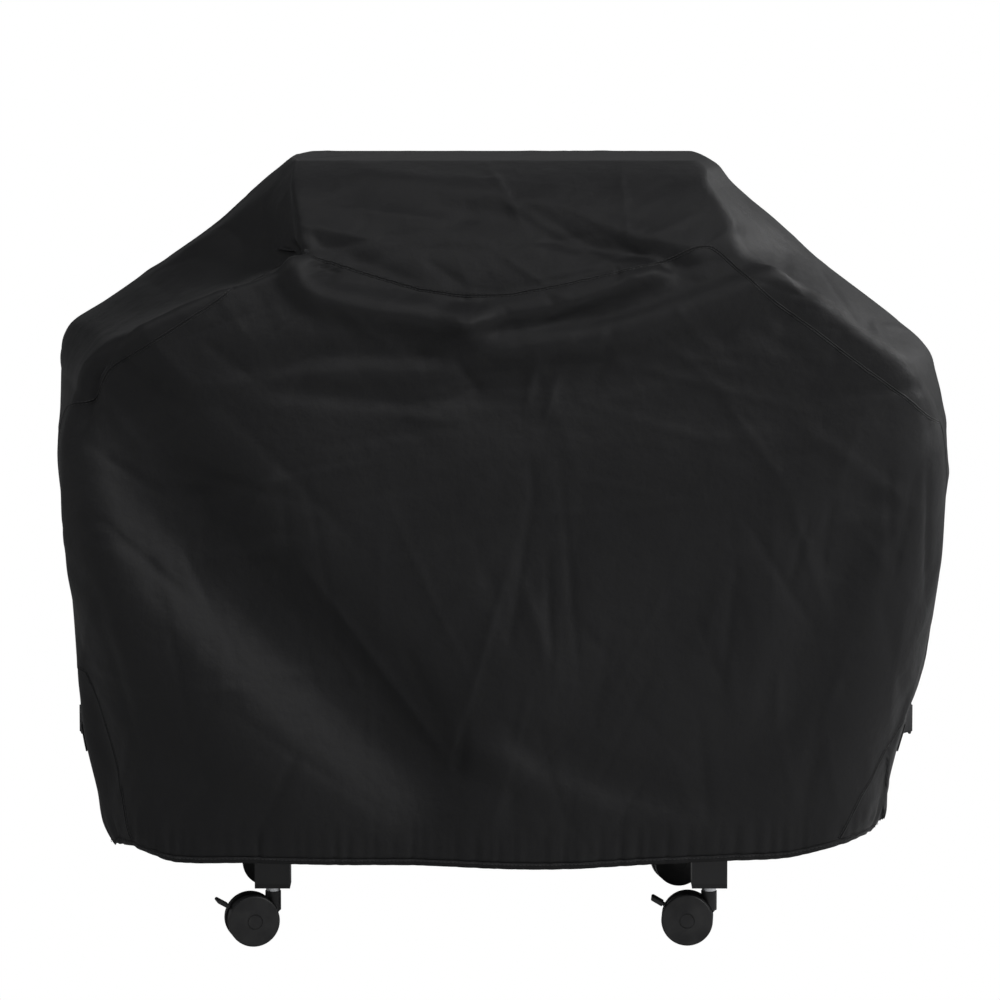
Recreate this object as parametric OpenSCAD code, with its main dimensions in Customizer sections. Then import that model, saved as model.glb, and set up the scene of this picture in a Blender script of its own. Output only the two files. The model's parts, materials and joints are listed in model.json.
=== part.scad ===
// Fitted outdoor cover over a wheeled grill cart, in millimetres. +Z is up, -Y is the front,
// and the origin is on the ground under the middle of the cover.

/* [Cover] */
// Width of the cover at its widest, between the shoulders and the skirt
cover_w = 1272; // [1240:2:1330]
// Depth of the cover at its deepest
cover_d = 594; // [584:2:640]
// Height of the top of the cover above the ground
cover_h = 1088; // [1076:1:1120]
// Height of the hem's lower edge above the ground
hem_z = 125; // [115:1:150]
// Width of the opening at the hem
hem_w = 1104; // [1100:2:1180]
// Depth of the opening at the hem
hem_d = 566; // [564:2:600]
// Height of the folded hem
hem_h = 14; // [12:1:24]
// Width of the cover across its two shoulders
shoulder_w = 1184; // [1160:2:1220]
// Height of the shoulders
shoulder_z = 852; // [846:1:866]
// Width of the flat top
top_w = 572; // [560:2:640]
// Depth of the flat top
top_d = 300; // [290:2:320]
// Height at which the skirt is widest
belly_z = 700; // [660:1:740]
// Radius of the cover's upright corners
corner_r = 95; // [85:1:105]
// Thickness of the cloth with its lining
cloth_t = 2; // [1.5:0.1:3]

/* [Seams and straps] */
// Height of the two seam peaks on the front and rear
seam_peak_z = 962; // [950:1:970]
// Half of the distance between the two seam peaks
seam_peak_x = 272; // [255:1:290]
// How far the seam dips between its peaks
seam_dip = 52; // [30:1:60]
// Height at which the seam reaches the side
seam_side_z = 752; // [740:1:780]
// Half of the distance between the side seams at the hem
seam_hem_x = 480; // [470:1:520]
// Distance of the side seams from the front and rear faces
seam_inset = 97; // [95:1:110]
// Width of the tape inside the seams
tape_w = 22; // [16:1:30]
// Thickness of the seam tape
tape_t = 0.8; // [0.5:0.1:1.2]
// Height of the middle of the side straps
strap_z = 285; // [250:1:340]
// Width of the strap webbing
strap_w = 38; // [25:1:50]
// Thickness of the strap webbing
strap_t = 2.5; // [1.5:0.1:3]
// Length of the strap ring along the side
ring_l = 34; // [28:1:40]
// Thickness of the strap ring's bars
ring_bar = 5; // [4:0.5:6]

/* [Grill] */
// How far the grill stands to the right of the cover's middle
cart_shift = -12.5; // [-14:0.5:14]
// Distance between the leg centres, side to side
leg_span_x = 608; // [600:1:640]
// Distance between the leg centres, front to rear
leg_span_y = 450; // [420:1:452]
// Width of the square leg tube
leg_w = 49; // [40:1:50]
// Wall of the leg tube
leg_wall = 2; // [1.5:0.1:3]
// Height of the bottom of the legs above the ground
leg_bottom_z = 82; // [81:1:90]
// Height of the side shelves' top face
shelf_z = 840; // [820:1:850]
// Depth of the side shelves
shelf_d = 504; // [504:1:520]
// Height of the side shelves' rolled edge
shelf_edge = 17; // [12:1:25]
// Radius of the side shelves' outer corners
shelf_r = 60; // [50:1:80]
// Gap between the side shelves and the hem when the cover is lifted off
lift_gap = 16; // [14:1:24]
// Thickness of the sheet metal
sheet_t = 2; // [1.5:0.1:3]
// Height of the rails' top face
rail_z = 680; // [640:1:700]
// Height of the rail tube
rail_h = 40; // [30:1:50]
// Thickness of the rail tube
rail_w = 25; // [20:1:30]
// Height of the lower shelf's top face
lower_shelf_z = 215; // [190:1:300]
// Width of the firebox and the hood
hood_w = 524; // [500:1:526]
// How far the firebox and the hood stand back from the cover's front and rear faces
hood_inset = 82; // [79:1:85]
// Height of the joint between the firebox and the hood
hood_z = 862; // [850:1:880]
// Radius of the hood's rounded front and rear
hood_r = 120; // [115:1:130]
// Height of the hood handle
handle_z = 925; // [910:1:940]
// Length of the hood handle
handle_l = 380; // [300:1:420]
// Radius of the hood handle's bar
handle_r = 8; // [6:0.5:9]
// Distance from the hood's front to the middle of its handle
handle_stand = 38; // [32:1:40]
// Height of the knobs
knob_z = 810; // [800:1:816]
// Distance between the knobs
knob_pitch = 150; // [120:1:180]
// Radius of a knob
knob_r = 20; // [16:1:24]
// Depth of the control panel
panel_depth = 35; // [25:1:36]

/* [Castors] */
// Diameter of a castor wheel
wheel_d = 72; // [70:0.5:74]
// Width of one of the twin wheels
wheel_w = 18; // [14:0.5:20]
// Gap between the twin wheels
wheel_gap = 14; // [13:0.5:16]
// Distance from the stem's axis to the wheel's axis
trail = 30; // [20:0.5:31]
// Radius of the castor axle
axle_r = 4; // [3:0.1:5]
// Radius of the castor stem
stem_r = 5.5; // [4.5:0.1:6]
// Running clearance of the wheels, stems and levers on their pins
run_gap = 0.05; // [0.02:0.01:0.1]
// Turn of the front left castor about its stem
yaw_front_left = 12; // [-180:1:180]
// Turn of the front right castor about its stem
yaw_front_right = -3; // [-180:1:180]
// Turn of the rear left castor about its stem
yaw_rear_left = 5; // [-180:1:180]
// Turn of the rear right castor about its stem
yaw_rear_right = 10; // [-180:1:180]
// Angle of the brake lever above level
lever_angle = 30; // [20:1:40]
// Distance from the wheel's axis to the brake lever's tip
lever_reach = 58; // [52:1:64]

/* [Hidden] */
CORNERS = ["front_left", "front_right", "rear_left", "rear_right"];
YAWS = [yaw_front_left, yaw_front_right, yaw_rear_left, yaw_rear_right];
$fn = 64;

cloth_colour = [0.13, 0.13, 0.14];
strap_colour = [0.09, 0.09, 0.10];
steel_colour = [0.16, 0.16, 0.17];
plastic_colour = [0.08, 0.08, 0.09];
chrome_colour = [0.80, 0.81, 0.83];
corner_steps = 4;
far = 2000;

// ---------------------------------------------------------------- cover form
// The cover is a loft of rounded rectangles. Each station is
// [height, half width, half depth, corner radius].
crown_drop = 14;      // from the flat top down to the rounded edge
brow_drop = 44;       // from the flat top down to the ridge over the hood's front
brow_spread = 50;     // how much wider each half is at the ridge
brow_depth = 75;      // how much deeper each half is at the ridge
skirt_rise = 175;     // from the hem up to where most of the skirt's flare is reached
skirt_share = 0.6;    // share of the flare reached there
edge_spread = 16;     // how much wider each half is at the foot of the top's rounded edge
edge_depth = 42;      // how much deeper each half is there
bulge_rise = 70;      // from the shoulders up to the bulge over the hood's handle
bulge_in = 88;        // from the shoulder's end in to the side at the bulge
crown_r = corner_r - 50;
STATIONS = [
    [hem_z, hem_w / 2, hem_d / 2, corner_r - 5],
    [hem_z + skirt_rise, (hem_w + skirt_share * (cover_w - hem_w)) / 2,
     (hem_d + skirt_share * (cover_d - hem_d)) / 2, corner_r],
    [belly_z - 140, cover_w / 2 - 9, cover_d / 2 - 1, corner_r],
    [belly_z, cover_w / 2, cover_d / 2, corner_r],
    [shoulder_z - 56, cover_w / 2 - 13, cover_d / 2 - 1, corner_r],
    [shoulder_z, shoulder_w / 2, cover_d / 2 - 4, corner_r - 5],
    [shoulder_z + bulge_rise, shoulder_w / 2 - bulge_in, cover_d / 2 - 15, corner_r - 25],
    [cover_h - brow_drop, top_w / 2 + brow_spread, top_d / 2 + brow_depth, crown_r],
    [cover_h - crown_drop, top_w / 2 + edge_spread, top_d / 2 + edge_depth, crown_r],
    [cover_h, top_w / 2, top_d / 2, crown_r],
];

// How much of a change in thickness moves a station upwards: none on the skirt, all of it on the top
function lift(z) = z <= shoulder_z ? 0 : (z - shoulder_z) / (cover_h - shoulder_z);

function rounded_ring(half_w, half_d, r, z) = [
    for (c = [0 : 3], s = [0 : corner_steps])
        let (a = 90 * (c + s / corner_steps),
             sx = (c == 0 || c == 3) ? 1 : -1,
             sy = c < 2 ? 1 : -1)
        [sx * (half_w - r) + r * cos(a), sy * (half_d - r) + r * sin(a), z]
];
ring_count = 4 * (corner_steps + 1);

function station_ring(s, grow) =
    rounded_ring(s[1] + grow, s[2] + grow, s[3] + grow, s[0] + grow * lift(s[0]));

// Closed loft of the cover's outer surface moved outwards by grow, with its foot lowered by drop
module form(grow, drop) {
    foot = STATIONS[0];
    rings = concat([rounded_ring(foot[1] + grow, foot[2] + grow, foot[3] + grow, hem_z - drop)],
                   [for (s = STATIONS) station_ring(s, grow)]);
    used = drop > 0 ? rings : [for (i = [1 : len(rings) - 1]) rings[i]];
    last = len(used) - 1;
    points = [for (ring = used) each ring];
    walls = [
        for (k = [0 : last - 1], i = [0 : ring_count - 1])
            let (j = (i + 1) % ring_count, low = k * ring_count, high = low + ring_count)
            each [[low + i, high + i, high + j], [low + i, high + j, low + j]]
    ];
    polyhedron(points, concat(walls, [[for (i = [0 : ring_count - 1]) i]],
                              [[for (i = [ring_count - 1 : -1 : 0]) last * ring_count + i]]));
}

// A layer of cloth between two offsets of the cover's outer surface
module layer(low, high) {
    difference() {
        form(high, 0);
        form(low, 1);
    }
}

seam_turn_rise = 183; // from the hem up to where the seam turns the corner to the side
seam_turn_out = 8;    // how far beyond the hem's width that corner lies
seam_back_rise = 240; // from the hem up to where the seam runs on the side
seam_fold_in = 43;    // from the widest side in to where the sloping seam begins
dip_shoulder_x = 0.55 * seam_peak_x;
dip_shoulder_z = seam_peak_z - 0.6 * seam_dip;

// Right half of the front and rear panels' outline, from the middle of the dip down to the ground
function seam_half(grow) = [
    [0, seam_peak_z - seam_dip + grow],
    [dip_shoulder_x, dip_shoulder_z + grow],
    [seam_peak_x, seam_peak_z + grow],
    [cover_w / 2 - seam_fold_in + grow, seam_side_z + grow],
    [cover_w / 2 + grow, seam_side_z + grow],
    [cover_w / 2 + grow, hem_z + seam_back_rise],
    [hem_w / 2 + seam_turn_out + grow, hem_z + seam_turn_rise],
    [seam_hem_x + grow, hem_z],
    [seam_hem_x + grow, 0],
];

// Outline of the front and rear panels as seen from the front
function seam_outline(grow) = let (half = seam_half(grow), last = len(half) - 1)
    concat(half, [for (i = [last : -1 : 1]) [-half[i][0], half[i][1]]]);

// The space in front of (side = -1) or behind (side = 1) the seam
module panel_zone(side, grow) {
    start = cover_d / 2 - seam_inset - grow;
    translate([0, side < 0 ? -start : far / 2 + start, 0])
        rotate([90, 0, 0]) linear_extrude(far / 2) polygon(seam_outline(grow));
}

module above_hem() {
    translate([-far / 2, -far / 2, hem_z + hem_h]) cube([far, far, far]);
}

module face_panel(side) {
    color(cloth_colour) intersection() {
        layer(-cloth_t, 0);
        panel_zone(side, 0);
        above_hem();
    }
}

module gusset_panel() {
    color(cloth_colour) difference() {
        intersection() {
            layer(-cloth_t, 0);
            above_hem();
        }
        panel_zone(-1, 0);
        panel_zone(1, 0);
    }
}

module hem_band() {
    color(strap_colour) difference() {
        layer(-cloth_t, 0);
        above_hem();
    }
}

seam_allowance = 6;   // from the seam to the end of a strap sewn beside it

module seam_tape(side) {
    color(strap_colour) difference() {
        intersection() {
            layer(-cloth_t - tape_t, -cloth_t);
            panel_zone(side, tape_w / 2);
            above_hem();
        }
        panel_zone(side, -tape_w / 2);
    }
}

// One strap lies flat on the side, from its own seam to the ring in the middle
module side_strap(side_x, side_y) {
    sewn_y = cover_d / 2 - seam_inset - seam_allowance;
    color(strap_colour) intersection() {
        layer(0, strap_t);
        translate([side_x < 0 ? -far / 2 : 0, side_y < 0 ? -sewn_y : ring_l / 2 - ring_bar,
                   strap_z - strap_w / 2])
            cube([far / 2, sewn_y - ring_l / 2 + ring_bar, strap_w]);
    }
}

// Rectangular ring that stands outside the two strap ends
module strap_ring(side_x) {
    height = strap_w + 2 * ring_bar;
    color(plastic_colour) difference() {
        intersection() {
            layer(strap_t, strap_t + ring_bar);
            translate([side_x < 0 ? -far / 2 : 0, -ring_l / 2, strap_z - height / 2])
                cube([far / 2, ring_l, height]);
        }
        translate([-far / 2, -ring_l / 2 + ring_bar, strap_z - strap_w / 2])
            cube([far, ring_l - 2 * ring_bar, strap_w]);
    }
}

// ---------------------------------------------------------------- grill
hood_top_gap = 0.3;
hood_top = cover_h - cloth_t - hood_top_gap;
hood_d = cover_d - 2 * hood_inset;
leg_x = leg_span_x / 2;
leg_y = leg_span_y / 2;
leg_inner_x = leg_x - leg_w / 2;
shelf_sheet_z = shelf_z - sheet_t;
shelf_end = hem_w / 2 - cloth_t - lift_gap - abs(cart_shift);
plug_flange = 6;
plug_l = 40;
knob_depth = 18;
knob_stem_r = 4;

function corner_x(i) = (i % 2 == 0 ? -1 : 1) * leg_x;
function corner_y(i) = (i < 2 ? -1 : 1) * leg_y;

module on_cart() { translate([cart_shift, 0, 0]) children(); }

module at_corner(i) { translate([cart_shift + corner_x(i), corner_y(i), 0]) children(); }

module box_tube(size, wall, along) {
    bore = [for (k = [0 : 2]) k == along ? size[k] + 2 : size[k] - 2 * wall];
    difference() {
        cube(size, center = true);
        cube(bore, center = true);
    }
}

module leg(i) {
    low = leg_bottom_z + plug_flange;
    length = shelf_sheet_z - low;
    color(steel_colour) at_corner(i)
        translate([0, 0, low + length / 2]) box_tube([leg_w, leg_w, length], leg_wall, 2);
}

module leg_socket(i) {
    inner = leg_w - 2 * leg_wall;
    color(plastic_colour) at_corner(i) difference() {
        union() {
            translate([-leg_w / 2, -leg_w / 2, leg_bottom_z]) cube([leg_w, leg_w, plug_flange]);
            translate([-inner / 2, -inner / 2, leg_bottom_z]) cube([inner, inner, plug_flange + plug_l]);
        }
        translate([0, 0, leg_bottom_z - 1]) cylinder(r = stem_r, h = stem_top - leg_bottom_z + 1);
    }
}

module long_rail(side_y) {
    color(steel_colour) on_cart()
        translate([0, side_y * (leg_y - leg_w / 2 + rail_w / 2), rail_z - rail_h / 2])
            box_tube([2 * leg_inner_x, rail_w, rail_h], leg_wall, 0);
}

module cross_rail(side_x) {
    color(steel_colour) on_cart()
        translate([side_x * leg_x, 0, rail_z - rail_h / 2])
            box_tube([rail_w, leg_span_y - leg_w, rail_h], leg_wall, 1);
}

// Shallow tray, open downwards
module lower_shelf() {
    edge = 20;
    color(steel_colour) on_cart() translate([0, 0, lower_shelf_z - edge]) difference() {
        translate([-leg_inner_x, -leg_y, 0]) cube([2 * leg_inner_x, leg_span_y, edge]);
        translate([-leg_inner_x + sheet_t, -leg_y + sheet_t, -1])
            cube([2 * (leg_inner_x - sheet_t), leg_span_y - 2 * sheet_t, edge - sheet_t + 1]);
    }
}

module firebox() {
    color(steel_colour) on_cart() difference() {
        translate([-hood_w / 2, -hood_d / 2, rail_z]) cube([hood_w, hood_d, hood_z - rail_z]);
        translate([-hood_w / 2 + sheet_t, -hood_d / 2 + sheet_t, rail_z + sheet_t])
            cube([hood_w - 2 * sheet_t, hood_d - 2 * sheet_t, hood_z]);
    }
}

// Side view of the hood: upright at its foot, rounded at the front and rear of its top
module hood_profile(inset) {
    half = hood_d / 2 - inset;
    top = hood_top - inset;
    r = hood_r - inset;
    low = hood_z - inset;
    intersection() {
        union() {
            translate([-half, low]) square([2 * half, top - r - low]);
            translate([-half + r, low]) square([2 * (half - r), top - low]);
            for (side = [-1, 1]) translate([side * (half - r), top - r]) circle(r = r);
        }
        translate([-half, low]) square([2 * half, top - low]);
    }
}

module hood_block(width, inset) {
    translate([-width / 2, 0, 0]) rotate([90, 0, 90]) linear_extrude(width) hood_profile(inset);
}

module hood() {
    color(steel_colour) on_cart() difference() {
        hood_block(hood_w, 0);
        hood_block(hood_w - 2 * sheet_t, sheet_t);
    }
}

module hood_handle() {
    bar_y = -hood_d / 2 - handle_stand;
    color(chrome_colour) on_cart() {
        translate([-handle_l / 2, bar_y, handle_z]) rotate([0, 90, 0]) cylinder(r = handle_r, h = handle_l);
        for (side = [-1, 1])
            translate([side * (handle_l / 2 - 25), -hood_d / 2, handle_z]) rotate([90, 0, 0])
                cylinder(r = handle_r * 0.75, h = handle_stand);
    }
}

module control_panel() {
    height = 90;
    color(steel_colour) on_cart() difference() {
        translate([-hood_w / 2, -hood_d / 2 - panel_depth, knob_z - height / 2])
            cube([hood_w, panel_depth, height]);
        translate([-hood_w / 2, -hood_d / 2 - panel_depth, knob_z - height / 2])
            translate([sheet_t, sheet_t, sheet_t])
                cube([hood_w - 2 * sheet_t, panel_depth, height - 2 * sheet_t]);
        for (k = [-1 : 1])
            translate([k * knob_pitch, -hood_d / 2, knob_z]) rotate([90, 0, 0])
                cylinder(r = knob_stem_r + run_gap, h = panel_depth + 1);
    }
}

// A knob has a round skirt, a raised grip and a stem through the panel
module knob(k) {
    skirt = 5;
    grip_w = 10;
    gap = 0.4;
    color(plastic_colour) on_cart()
        translate([k * knob_pitch, -hood_d / 2 - panel_depth - gap, knob_z]) rotate([90, 0, 0]) {
            cylinder(r = knob_r, h = skirt);
            intersection() {
                cylinder(r = knob_r - 2, h = knob_depth);
                translate([-grip_w / 2, -knob_r, 0]) cube([grip_w, 2 * knob_r, knob_depth]);
            }
            translate([0, 0, 1 - panel_depth]) cylinder(r = knob_stem_r, h = panel_depth);
        }
}

module shelf_outline(inset) {
    inner_end = hood_w / 2 + 2;
    half = shelf_d / 2 - inset;
    end = shelf_end - inset;
    r = shelf_r - inset;
    translate([inner_end + inset, -half]) square([end - inner_end - inset - r, 2 * half]);
    translate([inner_end + inset, -half + r]) square([end - inner_end - inset, 2 * (half - r)]);
    for (side = [-1, 1]) translate([end - r, side * (half - r)]) circle(r = r);
}

// Folded sheet tray, open downwards, that rests on the two legs of its side
module side_shelf(side_x) {
    color(steel_colour) on_cart() mirror([side_x < 0 ? 1 : 0, 0, 0])
        translate([0, 0, shelf_z - shelf_edge]) difference() {
            linear_extrude(shelf_edge) shelf_outline(0);
            translate([0, 0, -1]) linear_extrude(shelf_edge - sheet_t + 1) shelf_outline(sheet_t);
        }
}

// ---------------------------------------------------------------- castors
wheel_r = wheel_d / 2;
castor_w = wheel_gap + 2 * wheel_w;
hub_wall = 4;
axle_end_gap = 0.3;
axle_l = castor_w - 2 * (hub_wall + axle_end_gap);
web_t = wheel_gap - 2;
boss_r = 11;
boss_foot = wheel_r + 12;
collar_r = 10;
collar_h = 7;
swivel_gap = 0.3;
housing_top = leg_bottom_z - collar_h - swivel_gap;
stem_foot = boss_foot + 4;
stem_top = leg_bottom_z + plug_flange + plug_l - 8;
wheel_clear = 0.8;
lever_pivot = 24;     // from the wheel's axis to the lever's pivot
lever_pin_r = 2;
lever_eye_r = 5;
lever_eye_t = 5;
lever_tab_w = 26;
lever_tab_t = 5;
lever_tab_start = wheel_r + 4;
ear_r = 6;
slot_t = lever_eye_t + 0.8;

// Castor frame: the stem's axis is upright at the origin and the wheels trail to the left
module castor_frame(i) {
    at_corner(i) rotate([0, 0, YAWS[i]]) children();
}

module at_axle(i) {
    castor_frame(i) translate([-trail, 0, wheel_r]) children();
}

// A rod along the wheel axle's direction, centred on it
module cross_rod(r, length) {
    rotate([90, 0, 0]) cylinder(r = r, h = length, center = true);
}

module castor_stem(i) {
    color(chrome_colour) at_corner(i) {
        translate([0, 0, stem_foot]) cylinder(r = stem_r, h = stem_top - stem_foot);
        translate([0, 0, leg_bottom_z - collar_h]) cylinder(r = collar_r, h = collar_h);
    }
}

// Side view of the web between the wheels: round the axle, up to the stem boss, and out to the lever's ears
module web_profile(braked) {
    translate([-trail, wheel_r]) circle(r = 13);
    polygon([[-trail, wheel_r - 13], [-trail, wheel_r + 13], [-boss_r, housing_top - 8],
             [boss_r - 2, housing_top - 8], [boss_r - 2, boss_foot], [0, wheel_r + 2]]);
    if (braked)
        translate([-trail, wheel_r]) rotate(180 - lever_angle) {
            translate([0, -ear_r]) square([lever_pivot, 2 * ear_r]);
            translate([lever_pivot, 0]) circle(r = ear_r);
        }
}

module lever_place() {
    translate([-trail, 0, wheel_r]) rotate([0, lever_angle, 0]) translate([-lever_pivot, 0, 0]) children();
}

module castor_housing(i) {
    braked = i < 2;
    color(plastic_colour) castor_frame(i) {
        difference() {
            union() {
                rotate([90, 0, 0]) linear_extrude(web_t, center = true) web_profile(braked);
                translate([0, 0, boss_foot]) cylinder(r = boss_r, h = housing_top - boss_foot);
            }
            for (side = [-1, 1])
                translate([-trail, side * (web_t + castor_w) / 2, wheel_r])
                    cross_rod(wheel_r + wheel_clear, castor_w);
            translate([-trail, 0, wheel_r]) cross_rod(axle_r, castor_w);
            translate([0, 0, stem_foot - swivel_gap]) cylinder(r = stem_r + run_gap, h = far);
            if (braked) lever_place() translate([-2 * ear_r, -slot_t / 2, -2 * ear_r])
                cube([3 * ear_r, slot_t, 4 * ear_r]);
        }
        if (braked) lever_place() cross_rod(lever_pin_r, web_t);
    }
}

module castor_axle(i) {
    color(chrome_colour) at_axle(i) cross_rod(axle_r, axle_l);
}

// side = -1 is the wheel nearer the front. Its outer face is slightly domed round a flat hub.
module castor_wheel(i, side) {
    tread_r = 3;
    hub_r = 9;
    dome = 2.5;
    color(plastic_colour) at_axle(i) rotate([side < 0 ? 90 : -90, 0, 0])
        translate([0, 0, wheel_gap / 2]) rotate_extrude() difference() {
            union() {
                square([wheel_r, wheel_w - tread_r - dome]);
                square([wheel_r - tread_r, wheel_w - dome]);
                translate([wheel_r - tread_r, wheel_w - tread_r - dome]) circle(r = tread_r);
                polygon([[0, wheel_w - dome - 1], [wheel_r - tread_r, wheel_w - dome - 1],
                         [wheel_r - tread_r, wheel_w - dome], [hub_r + 2, wheel_w], [hub_r + 2, wheel_w - 1],
                         [hub_r, wheel_w - 1], [hub_r, wheel_w], [0, wheel_w]]);
            }
            translate([-1, -1]) square([1 + axle_r + run_gap, 1 + wheel_w - hub_wall]);
            translate([-wheel_r, -wheel_r]) square([wheel_r, 3 * wheel_r]);
        }
}

// Rest is brake off: the tab points up and away from the wheels
module brake_lever(i) {
    tab_low = lever_tab_start - lever_pivot;
    tab_high = lever_reach - lever_pivot;
    tip_r = lever_tab_t / 2;
    color(plastic_colour) castor_frame(i) lever_place() difference() {
        union() {
            cross_rod(lever_eye_r, lever_eye_t);
            translate([-tab_low - 2, -lever_eye_t / 2, -tip_r])
                cube([tab_low + 2, lever_eye_t, lever_tab_t]);
            translate([tip_r - tab_high, -lever_tab_w / 2, -tip_r])
                cube([tab_high - tip_r - tab_low, lever_tab_w, lever_tab_t]);
            translate([tip_r - tab_high, 0, 0]) cross_rod(tip_r, lever_tab_w);
        }
        cross_rod(lever_pin_r + run_gap, lever_tab_w);
    }
}

face_panel(-1);  // front_panel
face_panel(1);  // rear_panel
gusset_panel();
hem_band();
seam_tape(-1);  // front_seam_tape
seam_tape(1);  // rear_seam_tape
side_strap(-1, -1);  // left_strap_front
side_strap(-1, 1);  // left_strap_rear
strap_ring(-1);  // left_strap_ring
side_strap(1, -1);  // right_strap_front
side_strap(1, 1);  // right_strap_rear
strap_ring(1);  // right_strap_ring
long_rail(-1);  // front_rail
long_rail(1);  // rear_rail
cross_rail(-1);  // left_rail
cross_rail(1);  // right_rail
lower_shelf();
firebox();
hood();
hood_handle();
control_panel();
knob(-1);  // knob_left
knob(0);  // knob_middle
knob(1);  // knob_right
side_shelf(-1);  // side_shelf_left
side_shelf(1);  // side_shelf_right
for (i = [0 : 3]) {
    leg(i);
    leg_socket(i);
    castor_stem(i);
    castor_housing(i);
    castor_axle(i);
    castor_wheel(i, -1);
    castor_wheel(i, 1);
}
for (i = [0 : 1])
    brake_lever(i);
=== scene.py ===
"""Looks for a fitted grill cover on its cart: cloth, seams, hem, straps, finishes, light and camera."""

import json
import math

import bmesh
import bpy
import numpy as np
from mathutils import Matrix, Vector
from mathutils.bvhtree import BVHTree


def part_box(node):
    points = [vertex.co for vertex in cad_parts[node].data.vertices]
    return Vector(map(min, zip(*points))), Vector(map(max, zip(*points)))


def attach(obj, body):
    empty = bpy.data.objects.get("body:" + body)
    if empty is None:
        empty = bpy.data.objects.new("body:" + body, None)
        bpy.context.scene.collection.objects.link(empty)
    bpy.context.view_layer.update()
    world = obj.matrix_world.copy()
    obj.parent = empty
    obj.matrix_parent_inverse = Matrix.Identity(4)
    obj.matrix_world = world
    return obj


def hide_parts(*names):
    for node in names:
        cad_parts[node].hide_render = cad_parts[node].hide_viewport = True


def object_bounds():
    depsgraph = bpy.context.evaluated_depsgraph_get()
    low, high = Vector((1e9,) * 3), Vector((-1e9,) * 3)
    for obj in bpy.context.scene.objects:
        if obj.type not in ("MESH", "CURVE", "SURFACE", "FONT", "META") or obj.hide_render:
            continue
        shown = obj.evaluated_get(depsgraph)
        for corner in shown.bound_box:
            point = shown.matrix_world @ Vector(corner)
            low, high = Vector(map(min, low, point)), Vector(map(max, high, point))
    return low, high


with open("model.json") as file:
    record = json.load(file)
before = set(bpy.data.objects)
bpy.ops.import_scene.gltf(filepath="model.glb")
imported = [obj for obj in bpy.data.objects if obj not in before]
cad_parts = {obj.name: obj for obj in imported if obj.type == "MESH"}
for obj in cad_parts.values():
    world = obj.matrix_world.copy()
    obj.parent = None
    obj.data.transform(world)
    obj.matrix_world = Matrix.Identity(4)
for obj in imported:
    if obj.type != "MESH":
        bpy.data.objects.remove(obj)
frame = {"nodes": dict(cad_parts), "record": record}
LOW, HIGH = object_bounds()
nodes = frame["nodes"]

HALF_W = (HIGH.x - LOW.x) / 2
HALF_D = (HIGH.y - LOW.y) / 2
TOP_Z = HIGH.z
HEM_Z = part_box("hem_band")[0].z


# -------- small helpers
def smooth_curve(points):
    """A smooth function through (x, value) points: cubic pieces that share their slopes at the points."""
    xs = np.array([p[0] for p in points], float)
    ys = np.array([p[1] for p in points], float)
    slope = np.gradient(ys, xs)

    def at(x):
        x = np.clip(x, xs[0], xs[-1])
        i = np.clip(np.searchsorted(xs, x, side="right") - 1, 0, len(xs) - 2)
        h = xs[i + 1] - xs[i]
        t = (x - xs[i]) / h
        return (
            (2 * t**3 - 3 * t**2 + 1) * ys[i]
            + (t**3 - 2 * t**2 + t) * h * slope[i]
            + (-2 * t**3 + 3 * t**2) * ys[i + 1]
            + (t**3 - t**2) * h * slope[i + 1]
        )

    return at


def distances(path):
    """How far along a polyline each of its points lies."""
    return np.concatenate([[0], np.cumsum(np.linalg.norm(np.diff(path, axis=0), axis=1))])


def smoothstep(x, low, high):
    t = np.clip((x - low) / (high - low), 0, 1)
    return t * t * (3 - 2 * t)


def new_object(name, data):
    obj = bpy.data.objects.new(name, data)
    bpy.context.scene.collection.objects.link(obj)
    return obj


def mesh_from(name, points, faces):
    mesh = bpy.data.meshes.new(name)
    mesh.from_pydata([tuple(p) for p in points], [], faces)
    mesh.update()
    return mesh


def shade_smooth(obj):
    obj.data.polygons.foreach_set("use_smooth", [True] * len(obj.data.polygons))


# -------- the cover's drape
# Share of the full height, then left and right half widths as shares of the box's half width.
WIDTHS = [
    (0.111, 0.873, 0.848), (0.131, 0.898, 0.872), (0.190, 0.917, 0.885), (0.268, 0.936, 0.915),
    (0.349, 0.934, 0.948), (0.453, 0.934, 0.978), (0.559, 0.952, 0.992), (0.643, 0.979, 0.997),
    (0.717, 0.982, 0.976), (0.755, 0.982, 0.951), (0.782, 0.962, 0.898), (0.809, 0.888, 0.840),
    (0.863, 0.762, 0.728), (0.917, 0.640, 0.630), (0.971, 0.532, 0.518), (0.991, 0.483, 0.484),
    (1.000, 0.458, 0.452),
]
# Share of the full height, then front and rear half depths as shares of the box's half depth.
DEPTHS = [
    (0.111, 0.945, 0.945), (0.270, 0.975, 0.975), (0.515, 0.985, 0.990), (0.640, 0.988, 0.990),
    (0.700, 0.968, 0.988), (0.760, 0.975, 0.980), (0.820, 0.965, 0.940), (0.880, 0.905, 0.850),
    (0.930, 0.810, 0.760), (0.965, 0.715, 0.690), (0.985, 0.610, 0.630), (1.000, 0.470, 0.530),
]
# Share of the full height, then the radius of the upright corners in metres.
RADII = [
    (0.111, 0.080), (0.300, 0.085), (0.550, 0.070), (0.700, 0.045), (0.775, 0.028), (0.830, 0.028),
    (0.890, 0.032), (0.925, 0.022), (0.955, 0.013), (1.000, 0.013),
]
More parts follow.
